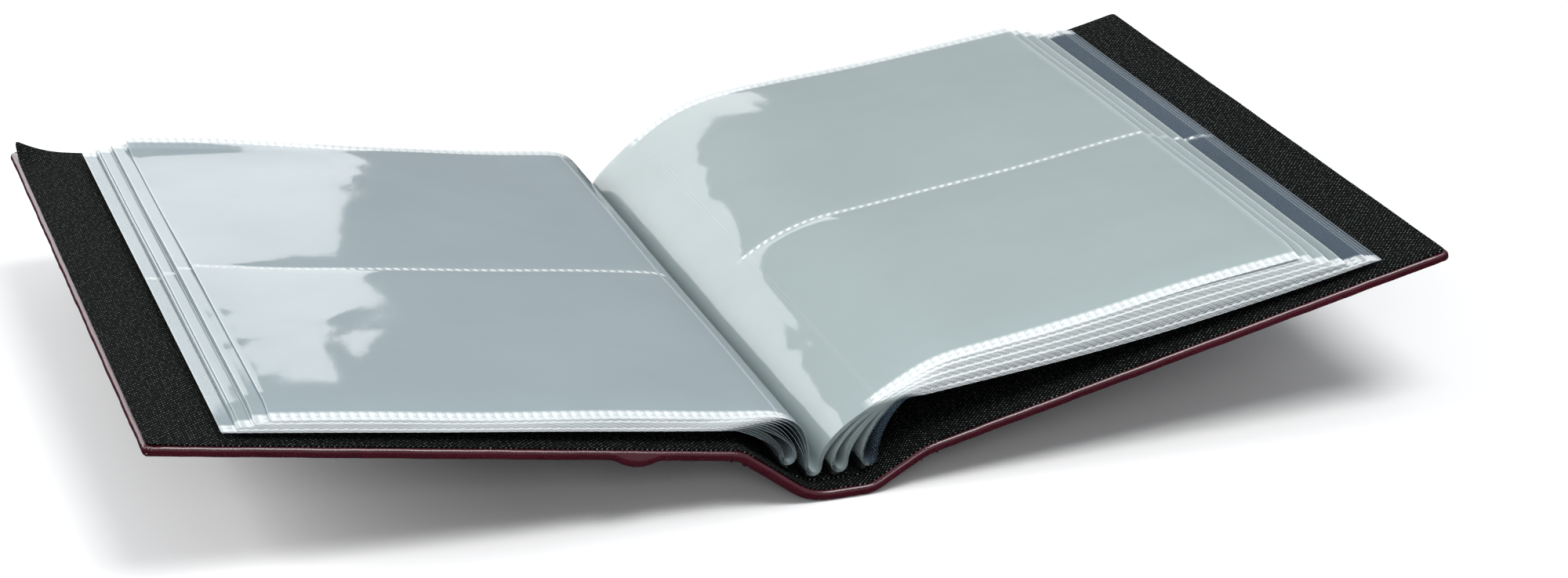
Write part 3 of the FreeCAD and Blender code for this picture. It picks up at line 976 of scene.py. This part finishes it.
def leatheretteMaterial():
    look = leatherLook
    material, tree, shader = newMaterial("leatherette")
    grain = useGroup(tree, leatherGrain, {"Vector": objectPlace(tree), "Cells": look["cells"]})
    colour = blendColour(tree, remap(tree, grain["Shade"], 0.3, 0.7), look["dark"], look["light"])
    pores = calc(tree, "MULTIPLY", grain["Pores"], look["poreShare"])
    plug(tree, shader, {
        "Base Color": blendColour(tree, pores, colour, look["pores"]),
        "Roughness": remap(tree, grain["Pores"], 0.0, 1.0, *look["roughness"]),
        "Coat Weight": look["coat"][0],
        "Coat Roughness": look["coat"][1],
    })
    addBump(tree, shader, grain["Height"], look["grainDepth"], 0.5)
    return material


liningLook = {
    "pitch": 0.72 * mm,
    "under": (0.0009, 0.0011, 0.0011, 1),
    "over": (0.0036, 0.0043, 0.0042, 1),
    # colour of the painted highlight on the crests of the threads
    "glintHighlight": (0.16, 0.18, 0.172, 1),
    # colour of the painted shade in the gaps between the threads
    "gap": (0.001, 0.0012, 0.0012, 1),
    "lint": (0.08, 0.08, 0.078, 1),
    "lintShare": 0.07,
    "roughness": 0.82,
    "specular": 0.04,
    "weaveDepth": 0.16 * mm,
}


def liningMaterial():
    look = liningLook
    material, tree, shader = newMaterial("lining_weave")
    place = addNode(tree, "ShaderNodeUVMap", uv_map="cloth").outputs[0]
    weave = useGroup(tree, clothWeave, {"Vector": place, "Pitch": look["pitch"]})
    base = blendColour(tree, remap(tree, weave["Over"], -0.3, 0.5), look["under"], look["over"])
    # painted highlight: bright specks on the crests of the threads, where light would catch them
    glintHighlight = calc(tree, "MULTIPLY", remap(tree, weave["Over"], 0.35, 0.95),
                 remap(tree, noise(tree, place, 900.0), 0.45, 0.64, 0.08, 1.0))
    base = blendColour(tree, glintHighlight, base, look["glintHighlight"])
    # painted shade: the gaps between the threads are darkened
    base = blendColour(tree, weave["Gap"], base, look["gap"])
    lint = calc(tree, "MULTIPLY", weave["Lint"], look["lintShare"])
    plug(tree, shader, {
        "Base Color": blendColour(tree, lint, base, look["lint"]),
        "Roughness": look["roughness"],
        "Specular IOR Level": look["specular"],
    })
    addBump(tree, shader, weave["Height"], look["weaveDepth"], 0.9)
    return material


filmLook = {
    "buckle": 15.0,
    "foreEdgeHighlight": (0.2 * mm, 0.5 * mm, 0.25, 0.0),   # painted highlight along the fore-edge: full to, gone from, strengths
    # painted highlight along the pocket mouth: full to, gone from, strengths
    "mouthHighlight": (0.2 * mm, 0.7 * mm, 1.0, 0.0),
    "rim": (4.7 * mm, 3.6 * mm),                   # weld rim: starts and is full, from the edge
    "rimPale": 0.86,
    "ribs": (0.62, 1.0),
    "middleRow": (0.8 * mm, 1.7 * mm, 1.0, 0.0),
    "middlePale": 0.22,
    "haze": 0.04,
    "clear": (0.10, 0.145, 0.19, 1),
    # white of the welds, also the colour of the painted highlights at the fore-edge and pocket mouth
    "welded": (0.84, 0.87, 0.88, 1),
    "weldedCover": 0.6,
    "roughness": (0.03, 0.075),
    "buckleDepth": 2.2 * mm,
}


def filmMaterial(name, tone, mouthGlintStrength):
    # milky film: nearly clear on its own, pale where many leaves lie over one another
    look = filmLook
    material, tree, shader = newMaterial(name)
    film = useGroup(tree, filmSurface, {"Vector": objectPlace(tree), "Buckle": look["buckle"]})
    plan = addNode(tree, "ShaderNodeSeparateXYZ",
                   {0: addNode(tree, "ShaderNodeUVMap", uv_map="cloth").outputs[0]})
    edge = addNode(tree, "ShaderNodeAttribute", attribute_name="fromEdge").outputs["Fac"]
    milk = addNode(tree, "ShaderNodeAttribute", attribute_name="milk").outputs["Fac"]
    # painted highlight: a pale line along each leaf's fore-edge, where light catches the edge
    endHighlight = remap(tree, edge, *look["foreEdgeHighlight"])
    # painted highlight: a pale line along the edge of the pocket mouth
    fromMouth = calc(tree, "ABSOLUTE", calc(tree, "SUBTRACT", plan.outputs[0], filmWork["mouth"]))
    mouthHighlight = remap(tree, fromMouth, *look["mouthHighlight"])
    fromMiddle = calc(tree, "ABSOLUTE", calc(tree, "SUBTRACT", plan.outputs[1], leafMiddle))
    rim = remap(tree, fromMiddle, *(leafHead - leafMiddle - inset for inset in look["rim"]))
    ribs = calc(tree, "SINE", calc(tree, "MULTIPLY", plan.outputs[0],
                                   2 * math.pi / filmWork["dotPitch"]))
    rim = calc(tree, "MULTIPLY", rim, remap(tree, ribs, -0.5, 0.5, *look["ribs"]))
    middleRow = remap(tree, fromMiddle, *look["middleRow"])
    rim = calc(tree, "MAXIMUM", calc(tree, "MULTIPLY", rim, look["rimPale"]),
               calc(tree, "MULTIPLY", middleRow, look["middlePale"]))
    rim = calc(tree, "MULTIPLY", rim, remap(tree, plan.outputs[0], 1 * mm, filmWork["mouth"]))
    # pale joins the real white of the weld rows with the painted highlights at the fore-edge and pocket mouth
    pale = calc(tree, "MAXIMUM", calc(tree, "MAXIMUM", endHighlight, rim),
                calc(tree, "MULTIPLY", mouthHighlight, mouthGlintStrength))
    haze = remap(tree, film["Haze"], 0.3, 0.7, -look["haze"], look["haze"])
    body = blendColour(tree, remap(tree, milk, 0.2, 0.5), look["clear"], tone)
    cover = calc(tree, "MULTIPLY_ADD", milk, -look["weldedCover"], look["weldedCover"])
    alpha = calc(tree, "MULTIPLY_ADD", pale, cover, milk)
    plug(tree, shader, {
        "Base Color": blendColour(tree, pale, body, look["welded"]),
        "Alpha": calc(tree, "ADD", alpha, haze),
        "Roughness": remap(tree, film["Scuff"], 0.3, 0.7, *look["roughness"]),
        "IOR": 1.5,
        "Specular IOR Level": 1.0,
    })
    addBump(tree, shader, film["Height"], look["buckleDepth"], 0.5)
    return material


weldLook = {
    "dull": (0.6, 0.65, 0.66, 1),
    "white": (0.76, 0.79, 0.79, 1),
    "roughness": (0.25, 0.45),
    "alpha": 0.8,
}


def weldMaterial():
    look = weldLook
    material, tree, shader = newMaterial("weld_white")
    film = useGroup(tree, filmSurface, {"Vector": objectPlace(tree), "Buckle": 300.0})
    tone = remap(tree, film["Haze"], 0.3, 0.7)
    plug(tree, shader, {
        "Base Color": blendColour(tree, tone, look["dull"], look["white"]),
        "Roughness": remap(tree, film["Scuff"], 0.3, 0.7, *look["roughness"]),
        "Alpha": look["alpha"],
    })
    return material


def fibrousMaterial(name, dark, light, scale, roughness):
    # pulp board, foam or glue: flecks of two tones with a matching bump
    material, tree, shader = newMaterial(name)
    place = objectPlace(tree)
    fleck = noise(tree, place, scale, 6.0, Roughness=0.7)
    spot = addNode(tree, "ShaderNodeTexVoronoi", {"Vector": place, "Scale": scale * 1.7})
    amount = calc(tree, "MULTIPLY_ADD", spot.outputs["Distance"], 0.3, fleck)
    plug(tree, shader, {
        "Base Color": blendColour(tree, remap(tree, amount, 0.4, 0.9), dark, light),
        "Roughness": remap(tree, fleck, 0.3, 0.7, roughness - 0.08, roughness + 0.08),
    })
    addBump(tree, shader, amount, 0.12 * mm, 0.5)
    return material


leatherette = leatheretteMaterial()
liningWeave = liningMaterial()
# the last number is the strength of the painted highlight along the pocket mouth
filmLeft = filmMaterial("pocket_film_front", (0.335, 0.405, 0.43, 1), 0.3)
filmRight = filmMaterial("pocket_film_back", (0.375, 0.445, 0.448, 1), 0.06)
weldWhite = weldMaterial()
greyboard = fibrousMaterial("greyboard", (0.22, 0.21, 0.19, 1), (0.40, 0.38, 0.35, 1), 700.0, 0.9)
foamSheet = fibrousMaterial("foam_sheet", (0.62, 0.61, 0.58, 1), (0.8, 0.79, 0.76, 1),
                            1500.0, 0.85)
# dried glue coloured near-black: partly its own colour, partly painted shade under the leaves
glueAndShade = fibrousMaterial("dried_glue_and_painted_shade", (0.012, 0.013, 0.013, 1), (0.05, 0.053, 0.052, 1),
                            400.0, 0.35)
print("materials done")


def dress(piece, material):
    piece.data.materials.clear()
    piece.data.materials.append(material)


for nodeName in ("front_cover_board", "back_cover_board", "spine_card"):
    dress(frame["nodes"][nodeName], greyboard)
# the glue's near-black colour partly stands for the shade under the leaves, as painted shade
dress(frame["nodes"]["binding_glue"], glueAndShade)


# Bodies, and the CAD solids that each piece stands for
def blendHinge(piece, cover, body, towards, away):
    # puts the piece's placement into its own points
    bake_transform(piece)


bendingParts = {
    "front_hinge": (frontCover, "front_cover", spineStart, frontOut),
    "back_hinge": (backCover, "back_cover", spineEnd, backOut),
}
caseLayers = (
    ("skin", leatherette, "leatherette", leathers),
    ("lining", liningWeave, "lining_cloth", cloths),
    ("foam", foamSheet, "padding", pads),
    ("band", greyboard, "leatherette", {"front_cover": frontBandCore}),
    ("tape", liningWeave, "binding_cloth", {"binding": tapeStrip}),
)
for layer, material, slotName, parts in caseLayers:
    for where, piece in parts.items():
        dress(piece, material)
        if where in bendingParts:
            blendHinge(piece, *bendingParts[where])
        else:
            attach(piece, "spine" if where == "binding" else where)
        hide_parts(where + "_" + layer)

for film, leaf in films:
    film.data.materials[0] = filmLeft if leaf["side"] < 0 else filmRight
    film.data.materials[1] = weldWhite
    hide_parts(leaf["name"])
    if leaf["number"] % sectionLeaves == 1:
        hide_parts("section_%d_folds" % (leaf["number"] // sectionLeaves + 1))
    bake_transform(film)
# Floor, lights and camera
studio = {
    "floor": 0.86,
    "floorFades": (0.9, 2.4),
    "sky": (0.93, 0.965, 1.0, 1),
    "skyLow": 0.03,
    "skyHigh": 0.45,
    "overhead": 16.5,
    "left": 15.0,
    "front": 6.5,
    "panel": 9.2,
    "lens": 84.24,
    "sensor": 36.0,
    "eye": (-0.32107, -0.99729, 0.44348),
    "view": (0.3046, 0.8750, -0.3762),
}


def paleFloor():
    # one large sheet of pale board, very slightly mottled, that glows white in the distance
    black = (0, 0, 0, 1)
    points = np.array([[-3, -2.5, 0], [3, -2.5, 0], [3, 3.5, 0], [-3, 3.5, 0]], float)
    floor = meshPiece("floor", points, [[0, 1, 2, 3]])
    material, tree, shader = newMaterial("pale_floor")
    place, tone = objectPlace(tree), studio["floor"]
    colour = blendColour(tree, noise(tree, place, 3.0), (tone, tone, tone, 1),
                         (tone + 0.02, tone + 0.02, tone + 0.02, 1))
    away = addNode(tree, "ShaderNodeVectorMath", {0: place}, operation="LENGTH")
    far = remap(tree, away.outputs["Value"], *studio["floorFades"])
    plug(tree, shader, {
        "Base Color": blendColour(tree, far, colour, black),
        "Emission Color": blendColour(tree, far, black, (1, 1, 1, 1)),
        "Emission Strength": 1.0,
        "Roughness": 0.8,
    })
    dress(floor, material)
    floor.visible_glossy = False   # dark surroundings below, as in a studio with black flags


def areaLight(name, place, aim, size, power):
    light = bpy.data.lights.new(name, "AREA")
    light.shape = "RECTANGLE"
    light.size, light.size_y = size
    light.energy = power
    lamp = bpy.data.objects.new(name, light)
    bpy.context.scene.collection.objects.link(lamp)
    lamp.location = place
    lamp.rotation_euler = (Vector(aim) - Vector(place)).to_track_quat("-Z", "Y").to_euler()
    lamp.visible_camera = False
    return lamp


paleFloor()
areaLight("overhead", (0.22, -0.62, 1.32), (0, 0, 0), (0.85, 0.55), studio["overhead"])
areaLight("left_fill", (-1.3, 0.2, 0.9), (0, 0, 0), (0.8, 0.8), studio["left"])
areaLight("front_fill", (-0.5, -1.5, 0.75), (0, 0, 0), (0.9, 0.5), studio["front"])
areaLight("low_panel", (-0.52, 1.75, 0.505), (0.0, 0.0, 0.12), (2.15, 0.74), studio["panel"])

world = bpy.data.worlds.new("studio")
bpy.context.scene.world = world
world.use_nodes = True
background = world.node_tree.nodes["Background"]
background.inputs[0].default_value = studio["sky"]
sky = addNode(world.node_tree, "ShaderNodeSeparateXYZ",
              {0: world.node_tree.nodes.new("ShaderNodeTexCoord").outputs["Generated"]})
strength = remap(world.node_tree, sky.outputs[2], -0.04, 0.02, studio["skyLow"],
                 studio["skyHigh"])
seen = world.node_tree.nodes.new("ShaderNodeLightPath").outputs["Is Camera Ray"]
white = calc(world.node_tree, "MAXIMUM", strength, seen)   # a white room behind the floor
world.node_tree.links.new(white, background.inputs[1])
bpy.context.scene.view_settings.view_transform = "Standard"

cameraData = bpy.data.cameras.new("camera")
cameraData.lens = studio["lens"]
cameraData.sensor_width = studio["sensor"]
camera = bpy.data.objects.new("camera", cameraData)
bpy.context.scene.collection.objects.link(camera)
camera.location = studio["eye"]
camera.rotation_euler = Vector(studio["view"]).to_track_quat("-Z", "Y").to_euler()
bpy.context.scene.camera = camera
print("studio done")
